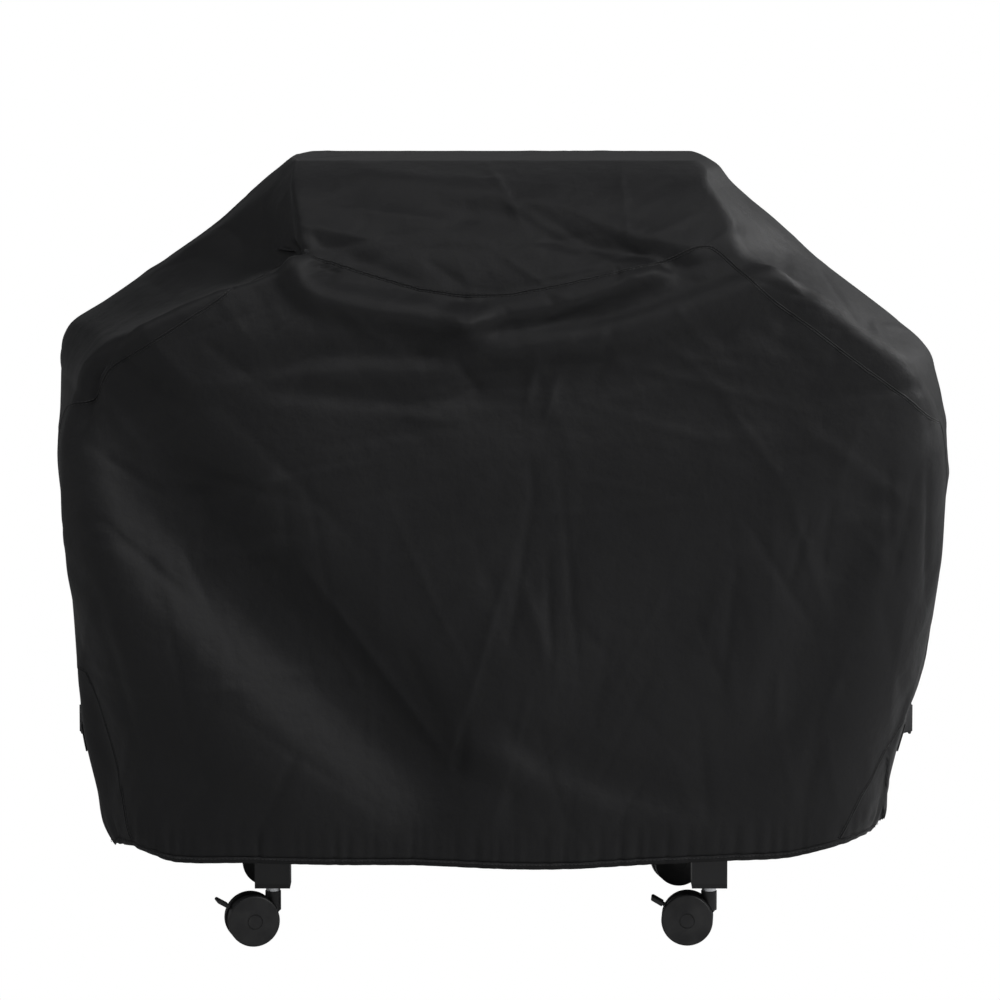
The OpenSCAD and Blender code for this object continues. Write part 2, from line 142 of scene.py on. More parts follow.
# Share of the full height, then how far the sloping sides draw in at the front, left and right.
DRAWS = [
    (0.111, 1.000, 1.000), (0.690, 1.000, 1.000), (0.755, 0.960, 0.985), (0.791, 0.905, 0.965),
    (0.833, 0.815, 0.950), (0.861, 0.700, 0.905), (0.885, 0.625, 0.850), (0.905, 0.690, 0.845),
    (0.934, 0.765, 0.890), (0.979, 0.885, 0.905), (1.000, 0.960, 0.930),
]
SIDE_BOW, BOW_REACH = 0.05, 0.25  # share by which the cover is narrower this far from its middle
DRAW_FADE = (0.03, 0.24)  # depths between which the sloping sides begin to draw in
STEP = 0.0105  # spacing of the cloth's mesh before it is subdivided
OUTLINE_SAMPLES = 2000  # along the left outline, to space the rings
ARC_POINTS = 8  # in half of an upright corner


def columns(points, column):
    return smooth_curve([(p[0], p[column]) for p in points])


left_share, right_share = columns(WIDTHS, 1), columns(WIDTHS, 2)
front_share, rear_share = columns(DEPTHS, 1), columns(DEPTHS, 2)
radius_at = columns(RADII, 1)
left_draw, right_draw = columns(DRAWS, 1), columns(DRAWS, 2)


def ring_heights():
    """Heights of the rings, evenly spaced along the cover's left outline."""
    z = np.linspace(HEM_Z / TOP_Z, 1, OUTLINE_SAMPLES)
    x = left_share(z) * HALF_W
    run = np.concatenate([[0], np.cumsum(np.hypot(np.diff(x), np.diff(z * TOP_Z)))])
    count = int(run[-1] / STEP)
    return np.interp(np.linspace(0, run[-1], count + 1), run, z)


def arc(centre, radius, start, end):
    """Points along a circle between two angles in degrees."""
    angle = np.radians(np.linspace(start, end, ARC_POINTS))
    return np.stack([centre[0] + radius * np.cos(angle), centre[1] + radius * np.sin(angle)], 1)


def even_points(path, count):
    """count points evenly along a polyline, leaving out its last point."""
    run = distances(path)
    want = np.linspace(0, run[-1], count + 1)[:-1]
    return np.stack([np.interp(want, run, path[:, k]) for k in (0, 1)], 1)


def ring(share, across, deep):
    """One closed ring of points: front, right side, rear and left side, each between the middles of two
    corners."""
    x0, x1 = -left_share(share) * HALF_W, right_share(share) * HALF_W
    y0, y1 = -front_share(share) * HALF_D, rear_share(share) * HALF_D
    r = float(radius_at(share))
    arcs = {
        "fl": ((x0 + r, y0 + r), 180), "fr": ((x1 - r, y0 + r), 270),
        "rr": ((x1 - r, y1 - r), 0), "rl": ((x0 + r, y1 - r), 90),
    }

    def side(first, last, count):
        (c0, a0), (c1, a1) = arcs[first], arcs[last]
        leaving, reaching = arc(c0, r, a0 + 45, a0 + 90), arc(c1, r, a1, a1 + 45)
        return even_points(np.concatenate([leaving, reaching]), count)

    flat = np.concatenate([
        side("fl", "fr", across), side("fr", "rr", deep), side("rr", "rl", across), side("rl", "fl", deep),
    ])
    # Towards the front and rear the sloping sides draw in, so that they sag between hood and shelf.
    forward = smoothstep(-flat[:, 1], *DRAW_FADE)
    backward = smoothstep(flat[:, 1], *DRAW_FADE)
    ahead = np.where(flat[:, 0] < 0, left_draw(share), right_draw(share))
    behind = np.where(flat[:, 0] < 0, right_draw(share), left_draw(share) ** 0.5)
    flat[:, 0] *= 1 - (1 - ahead) * forward - (1 - behind) * backward
    flat[:, 0] *= 1 - SIDE_BOW * (flat[:, 1] / BOW_REACH) ** 2
    return np.column_stack([flat, np.full(len(flat), share * TOP_Z)])


def cover_grid():
    """Points and quads of the whole cover, open at the bottom, and the height of the hem's upper edge."""
    shares = ring_heights()
    across = int(2 * HALF_W / STEP)
    deep = int(2 * HALF_D / STEP)
    rings = [ring(s, across, deep) for s in shares]
    size = 2 * (across + deep)
    points = np.concatenate(rings)
    faces = []
    for k in range(len(rings) - 1):
        for i in range(size):
            j = (i + 1) % size
            faces.append((k * size + i, k * size + j, (k + 1) * size + j, (k + 1) * size + i))
    # The flat top is a grid whose edge is the last ring.
    base = (len(rings) - 1) * size
    front = [base + i for i in range(across + 1)]
    rear = [base + across + deep + across - i for i in range(across + 1)]
    right = [base + across + i for i in range(deep + 1)]
    left = [base + (size - i) % size for i in range(deep + 1)]
    index = {}
    extra = []
    for row in range(deep + 1):
        for col in range(across + 1):
            if row == 0:
                index[row, col] = front[col]
            elif row == deep:
                index[row, col] = rear[col]
            elif col == 0:
                index[row, col] = left[row]
            elif col == across:
                index[row, col] = right[row]
            else:
                a, b = points[left[row]], points[right[row]]
                c, d = points[front[col]], points[rear[col]]
                u, v = col / across, row / deep
                corner = [points[k] for k in (front[0], front[across], rear[0], rear[across])]
                blend = (1 - u) * a + u * b + (1 - v) * c + v * d
                blend -= (1 - u) * (1 - v) * corner[0] + u * (1 - v) * corner[1]
                blend -= (1 - u) * v * corner[2] + u * v * corner[3]
                index[row, col] = len(points) + len(extra)
                extra.append(blend)
    points = np.concatenate([points, np.array(extra)])
    for row in range(deep):
        for col in range(across):
            faces.append(tuple(
                index[row + down, col + over] for down, over in ((0, 0), (0, 1), (1, 1), (1, 0))
            ))
    return points, faces, shares[1] * TOP_Z


EYE_Y, EYE_Z = -7.275, 1.43  # the camera's place, from which the folds are laid out too
FACE_Y = -0.29  # depth of the plane on which they are measured
CREST = 0.04  # how far a crisp crest is rounded off
CREST_FALL = 1.3  # how quickly the cloth falls away beside it


def seen(points):
    """Where points appear on the front face's plane, seen from the viewpoint: across and up."""
    k = (FACE_Y - EYE_Y) / (points[:, 1] - EYE_Y)
    return np.stack([points[:, 0] * k, EYE_Z - (EYE_Z - points[:, 2]) * k], 1)


def line_fold(flat, start, end, width, height, ends=0.25, crisp=False):
    """A ridge along a line, or a valley if height is negative, fading at its ends. A crisp one has a
    sharp crest."""
    a, b = np.array(start), np.array(end)
    along = b - a
    length = np.linalg.norm(along)
    t = ((flat[:, 0] - a[0]) * along[0] + (flat[:, 1] - a[1]) * along[1]) / length**2
    off = ((flat[:, 0] - a[0]) * along[1] - (flat[:, 1] - a[1]) * along[0]) / length / width
    fade = smoothstep(t, -ends, ends) * (1 - smoothstep(t, 1 - ends, 1 + ends))
    shape = np.exp(-np.sqrt(off**2 + CREST) * CREST_FALL) if crisp else np.exp(-(off**2))
    return height * fade * shape


def curved(line, pieces=6):
    """A polyline that follows a smooth curve through a line's points."""
    line = np.array(line)
    run = distances(line)
    at = np.linspace(0, run[-1], (len(line) - 1) * pieces + 1)
    return np.stack([smooth_curve(list(zip(run, line[:, k])))(at) for k in (0, 1)], 1)


def bent_fold(flat, line, profile, fade):
    """A fold whose section is a smooth profile of (distance, height) pairs across a curved line.
    Distances are positive to the left of the line's direction. The fold dies out within fade of its ends."""
    best = np.full(len(flat), np.inf)
    offset, beyond = np.zeros(len(flat)), np.zeros(len(flat))
    line = curved(line)
    for i, (a, b) in enumerate(zip(line[:-1], line[1:])):
        along = (b - a) / np.linalg.norm(b - a)
        rel = flat - a
        t = rel @ along
        over = np.where(t < 0, -t, np.maximum(t - np.linalg.norm(b - a), 0))
        off = along[0] * rel[:, 1] - along[1] * rel[:, 0]
        far = np.hypot(off, over)
        nearer = far < best
        best = np.where(nearer, far, best)
        at_end = ((i == 0) & (t < 0)) | ((i == len(line) - 2) & (t > 0))
        offset = np.where(nearer, np.where(at_end, off, np.sign(off) * far), offset)
        beyond = np.where(nearer, np.where(at_end, over, 0), beyond)
    return smooth_curve(profile)(offset) * (1 - smoothstep(beyond, 0, fade))


# The large folds on the front: a bent line of (across, up), a profile across it, and how softly it ends.
LARGE_FOLDS = [
    # valley from the left shoulder down towards the middle of the hem, and the swell below it
    ([(-0.600, 0.810), (-0.512, 0.682), (-0.343, 0.479), (-0.205, 0.342), (-0.110, 0.240)],
     [(-0.44, -0.026), (-0.32, -0.024), (-0.22, -0.008), (-0.14, 0.014), (-0.10, 0.011), (-0.01, -0.030),
      (0.03, -0.028), (0.13, 0.010), (0.18, 0.012), (0.32, 0.004), (0.45, 0)], 0.10),
    # swag from under the left peak, round and down to the middle
    ([(-0.279, 0.962), (-0.272, 0.932), (-0.247, 0.910), (-0.192, 0.896), (-0.123, 0.885), (-0.047, 0.871)],
     [(-0.060, 0), (-0.030, 0.001), (0, 0.019), (0.010, 0.016), (0.032, 0.001), (0.045, 0)], 0.05),
    # swag from the middle up to the right peak
    ([(-0.047, 0.874), (0.050, 0.893), (0.139, 0.916), (0.205, 0.941)],
     [(-0.050, 0), (-0.022, -0.002), (0, 0.014), (0.010, 0.012), (0.030, 0.001), (0.045, 0)], 0.04),
    # second swag below it, up to the tuck beside the right peak, and its foot
    ([(-0.030, 0.838), (0.070, 0.847), (0.166, 0.861), (0.269, 0.895), (0.352, 0.927)],
     [(-0.150, 0), (-0.090, -0.004), (-0.042, -0.009), (0, 0.014), (0.010, 0.012), (0.028, 0.001), (0.04, 0)],
     0.08),
    # two level tucks under the left swag
    ([(-0.300, 0.815), (-0.200, 0.828), (-0.100, 0.826)],
     [(-0.050, 0), (-0.018, -0.001), (0, -0.008), (0.035, 0.001), (0.07, 0)], 0.13),
    ([(-0.260, 0.776), (-0.180, 0.768), (-0.080, 0.772)],
     [(-0.050, 0), (-0.018, -0.001), (0, -0.006), (0.030, 0.001), (0.06, 0)], 0.12),
    # brow: the cloth leans back above this line
    ([(-0.180, 1.083), (-0.027, 1.052), (0.077, 1.033), (0.145, 1.006), (0.255, 0.977)],
     [(-0.060, 0), (-0.025, -0.003), (0, 0.006), (0.020, 0.002), (0.05, 0)], 0.04),
    # the right of the front turns away along a line from the right shoulder down to the hem
    ([(0.560, 0.710), (0.470, 0.560), (0.459, 0.520), (0.418, 0.425), (0.382, 0.315), (0.280, 0.270),
      (0.170, 0.225)],
     [(-0.16, 0), (-0.06, 0.003), (0, -0.007), (0.06, -0.001), (0.14, 0)], 0.10),
    ([(-0.013, 0.315), (0.170, 0.228), (0.300, 0.190)],
     [(-0.07, 0), (-0.03, 0.005), (0, -0.004), (0.05, 0)], 0.08),
]
# Smaller folds: start, end, half width, height, whether the crest is crisp.
SMALL_FOLDS = [
    ((-0.260, 0.526), (-0.072, 0.269), 0.010, 0.006, True),
    ((-0.298, 0.640), (-0.290, 0.560), 0.010, -0.004, True),
    ((-0.550, 0.603), (-0.435, 0.498), 0.006, -0.005, True),
    ((-0.435, 0.553), (-0.402, 0.484), 0.006, -0.003, True),
    ((0.010, 0.534), (-0.068, 0.272), 0.007, 0.004, True),
    ((-0.050, 0.327), (-0.055, 0.250), 0.008, -0.005, False),
    ((0.042, 0.622), (0.015, 0.450), 0.008, -0.004, True),
    ((0.066, 0.548), (0.070, 0.388), 0.006, -0.004, True),
    ((0.042, 0.682), (0.046, 0.626), 0.006, -0.003, True),
    ((0.322, 0.526), (0.308, 0.388), 0.009, -0.004, True),
    ((0.345, 0.590), (0.428, 0.457), 0.007, -0.004, True),
    ((0.400, 0.627), (0.446, 0.480), 0.010, 0.004, True),
    ((0.420, 0.600), (0.400, 0.520), 0.007, -0.004, True),
    ((0.455, 0.640), (0.440, 0.530), 0.008, -0.004, True),
    ((0.578, 0.672), (0.542, 0.530), 0.008, -0.008, True),
    ((0.590, 0.682), (0.588, 0.512), 0.006, -0.006, True),
    ((0.382, 0.390), (0.382, 0.318), 0.008, 0.004, True),
    ((-0.250, 0.952), (-0.219, 0.940), 0.006, -0.007, True),
    ((-0.265, 0.955), (-0.235, 0.925), 0.006, -0.004, True),
    ((-0.047, 0.908), (-0.047, 0.876), 0.006, -0.004, True),
    ((-0.020, 0.906), (-0.040, 0.880), 0.006, -0.003, True),
    ((-0.281, 1.072), (-0.302, 1.026), 0.008, 0.006, True),
    ((0.073, 0.900), (0.060, 0.915), 0.005, -0.004, True),
    ((0.160, 0.948), (0.163, 0.930), 0.005, -0.005, True),
    ((0.050, 0.820), (0.035, 0.760), 0.008, 0.005, True),
    ((0.078, 0.800), (0.062, 0.745), 0.008, 0.005, True),
    ((-0.062, 0.822), (-0.030, 0.780), 0.008, -0.005, True),
    ((-0.120, 0.770), (0.000, 0.800), 0.007, 0.004, True),
    ((-0.520, 0.830), (-0.440, 0.760), 0.010, -0.006, True),
    ((-0.490, 0.860), (-0.420, 0.790), 0.010, 0.004, True),
    ((-0.400, 0.845), (-0.340, 0.800), 0.010, -0.005, True),
    ((0.410, 0.900), (0.380, 0.860), 0.008, -0.003, True),
    ((0.470, 0.860), (0.455, 0.815), 0.007, -0.003, True),
    ((-0.290, 1.010), (-0.160, 0.985), 0.010, 0.005, True),
    ((-0.270, 0.990), (-0.120, 0.930), 0.014, -0.005, False),
    ((-0.250, 0.975), (-0.100, 1.000), 0.010, -0.004, True),
    ((-0.220, 1.030), (-0.080, 1.015), 0.009, 0.004, True),
    ((-0.100, 0.960), (-0.050, 0.925), 0.008, -0.003, True),
    ((0.060, 0.990), (0.230, 0.960), 0.012, -0.005, False),
    ((0.060, 0.935), (0.200, 0.962), 0.009, 0.004, True),
    ((-0.060, 1.070), (0.120, 1.055), 0.006, 0.003, True),
    ((0.120, 1.060), (0.260, 1.062), 0.006, -0.003, True),
]

# Height of the hem above its level line, across the front, in metres.
HEM_LINE = smooth_curve([
    (-0.560, 0.014), (-0.515, 0.008), (-0.482, 0.001), (-0.344, -0.002), (-0.120, -0.005), (0.080, -0.010),
    (0.213, -0.004), (0.317, 0.002), (0.405, 0.008), (0.460, 0.021), (0.540, 0.034),
])


LEVEL_ABOVE = 0.55  # height above which creases run level or aslant and not upright
LEANS = [0.5, 2.4, 0.1]  # the directions that they have there
FACE_CREASES, FACE_CREASE_HEIGHT = 240, 0.0028  # on the front and on the rear
SIDE_CREASES, TOP_CREASES = 60, 110
FACE_ACROSS, SIDE_ACROSS, TOP_ACROSS = (-0.60, 0.60), (-0.26, 0.26), (-0.28, 0.28)
SIDE_UP, FRONT_UP, REAR_UP = (0.14, 0.84), (0.14, 1.07), (0.14, 1.05)


def creases(flat, seed, count, across, up, largest=0.0022):
    """Small random creases over a face, given its two coordinates."""
    rng = np.random.default_rng(seed)
    total = np.zeros(len(flat))
    for _ in range(count):
        x, z = rng.uniform(*across), rng.uniform(*up)
        lean = rng.normal(0, 0.5) + (math.pi / 2 if z < LEVEL_ABOVE else rng.choice(LEANS))
        length = rng.uniform(0.05, 0.24)
        dx, dz = math.cos(lean) * length / 2, math.sin(lean) * length / 2
        width = rng.uniform(0.005, 0.014)
        height = rng.choice([-1, 1]) * rng.uniform(0.3, 1) * largest
        crisp = rng.random() < 0.6
        total += line_fold(flat, (x - dx, z - dz), (x + dx, z + dz), width, height, 0.4, crisp)
    return total


AT_HEM, HEM_CALM = 0.35, 0.16  # share of a fold left at the hem, and how far above it folds are whole
REAR_MIRROR, REAR_STRENGTH = -0.92, 0.8  # the rear has some of the front's folds, turned about


def folds(flat, points, large, small, strength=1):
    """Large and small folds together, shallower towards the hem, which holds the cloth."""
    out = sum(bent_fold(flat, *fold) * strength for fold in large)
    out += sum(line_fold(flat, a, b, width, height, crisp=crisp) for a, b, width, height, crisp in small)
    return out * (AT_HEM + (1 - AT_HEM) * smoothstep(points[:, 2], HEM_Z, HEM_Z + HEM_CALM))


def front_height(points):
    """How far the front stands proud of its plain form."""
    flat = seen(points)
    out = folds(flat, points, LARGE_FOLDS, SMALL_FOLDS)
    return out + creases(flat, 3, FACE_CREASES, FACE_ACROSS, FRONT_UP, FACE_CREASE_HEIGHT)


def rear_height(points):
    """The rear hangs in folds of the same kind, in another pattern."""
    flat = np.stack([REAR_MIRROR * points[:, 0], points[:, 2]], 1)
    out = folds(flat, points, LARGE_FOLDS[:3], SMALL_FOLDS[9:30], REAR_STRENGTH)
    return out + creases(flat, 4, FACE_CREASES, FACE_ACROSS, REAR_UP, FACE_CREASE_HEIGHT)


PUCKER_COUNT, PUCKER_REACH = 90, 0.70  # gathers along the hem, and how far from its middle they run
PUCKER_HEIGHT, PUCKER_SPREAD = 0.020, 0.028  # above the hem's lower edge


def puckers():
    """A function for the depth of the small gathers along the hem, which stand at random spacings."""
    rng = np.random.default_rng(11)
    centres = np.cumsum(rng.uniform(0.010, 0.030, PUCKER_COUNT)) - PUCKER_REACH
    depths = rng.uniform(0.0008, 0.0040, PUCKER_COUNT)
    widths = rng.uniform(0.0035, 0.0060, PUCKER_COUNT)
    run = np.linspace(-PUCKER_REACH, PUCKER_REACH, 1401)
    table = sum(d * np.exp(-(((run - c) / w) ** 2)) for c, d, w in zip(centres, depths, widths))
    return lambda x: np.interp(x, run, table)


pucker_depth = puckers()


def push_clear(p, front, gap=0.004, slope=0.8):
    """Pushes the cloth forward where knobs, panel or handle stand behind it, easing off beside them.
    front says how far each point belongs to the front, from 0 to 1."""
    for name in ("knob_left", "knob_middle", "knob_right", "control_panel", "hood_handle"):
        low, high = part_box(name)
        beside = np.maximum(np.maximum(low.x - p[:, 0], p[:, 0] - high.x), 0)
        above = np.maximum(np.maximum(low.z - p[:, 2], p[:, 2] - high.z), 0)
        limit = low.y - gap + slope * np.hypot(beside, above)
        p[:, 1] += front * (np.minimum(p[:, 1], limit) - p[:, 1])


# How far a normal points a face's way: where the face begins to count, and where it counts in full.
FACING, SIDE_FACING, UP_FACING = (0.15, 0.60), (0.55, 0.90), (0.30, 0.75)
ROOF_EDGE = (0.29, 0.36)  # the top is taut inside the first, and the shoulders begin at the second
SIDE_CREASE, SHOULDER_CREASE, ROOF_CREASE = 1.2, 0.8, 0.3  # depth of creases against the usual
SHOULDER_SAG, SAG_FADE, SIDE_SINK = 0.006, (0.40, 0.56), 0.002
SKIRT = (0.30, 0.70)  # shares of the height between which the skirt's flutes fade out
SIDE_FLUTE = 0.004
END_OF_FRONT, END_SHARE = 0.54, 0.6  # beyond the first the hem follows HEM_LINE by this share only
HEM_EASE = 0.25  # height over which the hem's line fades out


def flutes(along, depth, pitch, start):
    return depth * np.sin(along * pitch + start)


def drape(points, normals):
    """The cover's shape: folds laid on along the cloth's normals, and a hem that isn't level."""
    p = points.copy()
    x, y, z = points[:, 0], points[:, 1], points[:, 2]
    front = smoothstep(-normals[:, 1], *FACING)
    rear = smoothstep(normals[:, 1], *FACING)
    side = smoothstep(np.abs(normals[:, 0]), *SIDE_FACING)
    up = smoothstep(normals[:, 2], *UP_FACING) * (1 - front)
    out = front * front_height(points) + rear * rear_height(points)
    for sign, seed in ((-1, 5), (1, 6)):
        here = side * (np.sign(x) == sign)
        creased = creases(points[:, [1, 2]], seed, SIDE_CREASES, SIDE_ACROSS, SIDE_UP)
        out += here * (creased * SIDE_CREASE - SIDE_SINK)
    on_top = creases(points[:, [0, 1]], 7, TOP_CREASES, FACE_ACROSS, TOP_ACROSS)
    beside = smoothstep(np.abs(x), *ROOF_EDGE)
    out += up * np.where(beside > 0, on_top * SHOULDER_CREASE, np.abs(on_top) * ROOF_CREASE)
    nearer = 1 - smoothstep(np.abs(x), *SAG_FADE)
    out -= up * beside * SHOULDER_SAG * nearer * (1 - (y / HALF_D) ** 2)
    # The skirt hangs in long shallow flutes below the shelves.
    skirt = 1 - smoothstep(z / TOP_Z, *SKIRT)
    out += front * skirt * flutes(x, 0.003, 17, 1.1)
    out += rear * skirt * (flutes(x, 0.006, 19, 2.0) + flutes(x, 0.003, 37, 0))
    out += side * skirt * (flutes(y, SIDE_FLUTE, 22, 0.8) - SIDE_FLUTE)
    # Small puckers where the hem's stitching draws the cloth in.
    above_hem = z - HEM_Z
    along_hem = np.where(side > 0.5, y, x)
    out -= pucker_depth(along_hem) * np.exp(-(((above_hem - PUCKER_HEIGHT) / PUCKER_SPREAD) ** 2))
    p += normals * out[:, None]
    push_clear(p, front)
    near_hem = np.clip(1 - above_hem / HEM_EASE, 0, 1)
    p[:, 2] += near_hem * HEM_LINE(x) * np.where(np.abs(x) > END_OF_FRONT, END_SHARE, 1.0)
    return p


# -------- seams
# Height of the seam over the front and rear panels, across the cover.
SEAM_LINE = [
    (-0.636, 0.725), (-0.603, 0.750), (-0.541, 0.805), (-0.492, 0.837), (-0.410, 0.887), (-0.340, 0.929),
    (-0.285, 0.957), (-0.262, 0.962), (-0.235, 0.957), (-0.176, 0.938), (-0.106, 0.918), (-0.048, 0.910),
    (0.010, 0.911), (0.070, 0.921), (0.138, 0.935), (0.207, 0.951), (0.265, 0.972), (0.290, 0.976),
    (0.308, 0.962), (0.350, 0.921), (0.400, 0.885), (0.455, 0.844), (0.510, 0.803), (0.568, 0.761),
    (0.636, 0.712),
]
# Heights, and the half widths at which the seam crosses the front's lower corners there.
# The rear's are the other way round.
LEFT_CORNER = [0.10, 0.383, 0.47], [0.512, 0.583, 0.70]
RIGHT_CORNER = [0.10, 0.307, 0.40], [0.450, 0.560, 0.70]
SIDE_SEAM_Y = HALF_D - 0.098  # the upright seams' depth on the sides
SNAP = 0.22  # an edge cut nearer to its end than this share has its end moved to the seam
FRONT, REAR, GUSSET, HEM = range(4)


def seam_field(points):
    """Positive on the front and rear panels, negative on the gusset and zero on the seam."""
    x, y, z = points[:, 0], points[:, 1], points[:, 2]
    over = np.interp(x, [s[0] for s in SEAM_LINE], [s[1] for s in SEAM_LINE]) - z
    left, right = np.interp(z, *LEFT_CORNER), np.interp(z, *RIGHT_CORNER)
    across = np.where((x < 0) == (y < 0), left, right) - np.abs(x)
    return np.minimum(np.minimum(over, np.abs(y) - SIDE_SEAM_Y), across)


def cut_cover(points, faces, hem_top):
    """The cover's mesh with edges along the seams, and each face's panel in its material index."""
    mesh = mesh_from("cover_form", points, faces)
    bm = bmesh.new()
    bm.from_mesh(mesh)
    bpy.data.meshes.remove(mesh)
    value = bm.verts.layers.float.new("seam")
    for v, f in zip(bm.verts, seam_field(points)):
        v[value] = f
    on_line = set()

    def crossed():
        return [e for e in bm.edges if e.verts[0][value] * e.verts[1][value] < 0]

    for e in crossed():
        a, b = e.verts
        if a[value] * b[value] >= 0:
            continue
        t = a[value] / (a[value] - b[value])
        if min(t, 1 - t) < SNAP:
            v, other, t = (a, b, t) if t < 0.5 else (b, a, 1 - t)
            v.co = v.co.lerp(other.co, t)
            v[value] = 0
            on_line.add(v)
    for e in crossed():
        a, b = e.verts
        _, v = bmesh.utils.edge_split(e, a, a[value] / (a[value] - b[value]))
        v[value] = 0
        on_line.add(v)
    bmesh.ops.connect_verts(bm, verts=list(on_line))
    for f in bm.faces:
        centre = f.calc_center_median()
        if centre.z < hem_top:
            f.material_index = HEM
        elif sum(v[value] for v in f.verts) > 0:
            f.material_index = FRONT if centre.y < 0 else REAR
        else:
            f.material_index = GUSSET
    return bm


def lay_uvs(bm):
    """Cloth coordinates in metres, laid on each face from the way it faces most."""
    uv = bm.loops.layers.uv.new("cloth")
    for f in bm.faces:
        n = f.normal
        for loop in f.loops:
            c = loop.vert.co
            if abs(n.z) > max(abs(n.x), abs(n.y)):
                loop[uv].uv = (c.x, c.y)
            elif abs(n.x) > abs(n.y):
                loop[uv].uv = (c.y, c.z)
            else:
                loop[uv].uv = (c.x, c.z)


def subdivided(mesh, levels):
    obj = new_object("cover_smooth", mesh)
    modifier = obj.modifiers.new("smooth", "SUBSURF")
    modifier.levels = modifier.render_levels = levels
    bpy.context.view_layer.update()
    graph = bpy.context.evaluated_depsgraph_get()
    smooth = bpy.data.meshes.new_from_object(obj.evaluated_get(graph))
    bpy.data.objects.remove(obj)
    return smooth


def positions(mesh):
    flat = np.empty(len(mesh.vertices) * 3)
    mesh.vertices.foreach_get("co", flat)
    return flat.reshape(-1, 3)


def set_positions(mesh, points):
    mesh.vertices.foreach_set("co", points.ravel())
    mesh.update()


def build_cover():
    points, faces, hem_top = cover_grid()
    bm = cut_cover(points, faces, hem_top)
    bm.normal_update()
    lay_uvs(bm)
    mesh = bpy.data.meshes.new("cover_cut")
    bm.to_mesh(mesh)
    bm.free()
    mesh = subdivided(mesh, 1)
    normals = np.empty(len(mesh.vertices) * 3)
    mesh.vertices.foreach_get("normal", normals)
    set_positions(mesh, drape(positions(mesh), normals.reshape(-1, 3)))
    return mesh


CLOTH_THICKNESS, HEM_THICKNESS = 0.0012, 0.0022
HEM_OFFSET = -0.7  # the folded hem stands a little proud of the panels, whose thickness lies all inwards


def panel_object(name, cover, panel):
    """One panel of the cover as its own piece, with the cloth's thickness inwards."""
    bm = bmesh.new()
    bm.from_mesh(cover)
    bmesh.ops.delete(bm, geom=[f for f in bm.faces if f.material_index != panel], context="FACES")
    for f in bm.faces:
        f.material_index = 0
    mesh = bpy.data.meshes.new(name)
    bm.to_mesh(mesh)
    bm.free()
    obj = new_object(name, mesh)
    shade_smooth(obj)
    thick = obj.modifiers.new("thickness", "SOLIDIFY")
    thick.thickness = HEM_THICKNESS if panel == HEM else CLOTH_THICKNESS
    thick.offset = HEM_OFFSET if panel == HEM else -1
    return obj


def chain(cover, first, others):
    """The vertices along the edges between one panel and others, in order, and whether they close."""
    panel = [p.material_index for p in cover.polygons]
    meets = {}
    for poly in cover.polygons:
        for key in poly.edge_keys:
            meets.setdefault(key, []).append(panel[poly.index])
    links = {}
    for (a, b), sides in meets.items():
        if len(sides) == 2 and first in sides and (set(sides) - {first}) & set(others):
            links.setdefault(a, []).append(b)
            links.setdefault(b, []).append(a)
    ends = [v for v in links if len(links[v]) == 1]
    path = [min(ends) if ends else min(links)]
    passed = set(path)
    while True:
        ahead = [v for v in links[path[-1]] if v not in passed]
        if not ahead:
            return path, not ends
        path.append(ahead[0])
        passed.add(ahead[0])


def softened(points, rounds, closed):
    for _ in range(rounds):
        before, after = np.roll(points, 1, 0), np.roll(points, -1, 0)
        if not closed:
            before[0], after[-1] = points[0], points[-1]
        points = points * 0.5 + (before + after) * 0.25
    return points


def seam_frames(cover, path, closed):
    """Points along a seam with the surface's normal, the direction along it and the one across it."""
    normals = np.array([cover.vertices[v].normal for v in path])
    spots = softened(np.array([cover.vertices[v].co for v in path]), 2, closed)
    normals = softened(normals, 4, closed)
    normals /= np.linalg.norm(normals, axis=1)[:, None]
    along = np.roll(spots, -1, 0) - np.roll(spots, 1, 0)
    if not closed:
        along[0], along[-1] = spots[1] - spots[0], spots[-1] - spots[-2]
    along /= np.linalg.norm(along, axis=1)[:, None]
    across = np.cross(normals, along)
    return spots, normals, along, across


def swept(name, rows, closed):
    """A skin over rows of section points. rows is points along the path by points round the section."""
    count, around = rows.shape[:2]
    faces = []
    for i in range(count if closed else count - 1):
        for k in range(around):
            a, b = i * around + k, i * around + (k + 1) % around
            c, d = ((i + 1) % count) * around + (k + 1) % around, ((i + 1) % count) * around + k
            faces.append((a, b, c, d))
    if not closed:
        faces.append(tuple(range(around))[::-1])
        faces.append(tuple((count - 1) * around + k for k in range(around)))
    obj = new_object(name, mesh_from(name, rows.reshape(-1, 3), faces))
    bm = bmesh.new()
    bm.from_mesh(obj.data)
    bmesh.ops.recalc_face_normals(bm, faces=bm.faces)
    bm.to_mesh(obj.data)
    bm.free()
    shade_smooth(obj)
    return obj


def laid_section(tree, frames, section):
    """A section laid on the cloth all along a seam: each point is (across, above) in metres."""
    spots, normals, _, across = frames
    rows = np.empty((len(spots), len(section), 3))
    for i, (spot, normal, side) in enumerate(zip(spots, normals, across)):
        for k, (reach, height) in enumerate(section):
            near, _, _, _ = tree.find_nearest(Vector(spot + side * reach))
            rows[i, k] = np.array(near) + normal * height
    return rows


def join_meshes(name, objects):
    """Several objects as one piece."""
    points, faces = [], []
    for obj in objects:
        base = len(points)
        points += [v.co[:] for v in obj.data.vertices]
        faces += [[base + v for v in p.vertices] for p in obj.data.polygons]
        bpy.data.objects.remove(obj)
    joined = new_object(name, mesh_from(name, points, faces))
    shade_smooth(joined)
    return joined


THREAD_SIDES = 6
# Along a stitch as a share of its length, and its thickness there as a share of its radius.
THREAD_PROFILE = [(-0.5, 0.35), (-0.32, 0.9), (0.0, 1.0), (0.32, 0.9), (0.5, 0.35)]


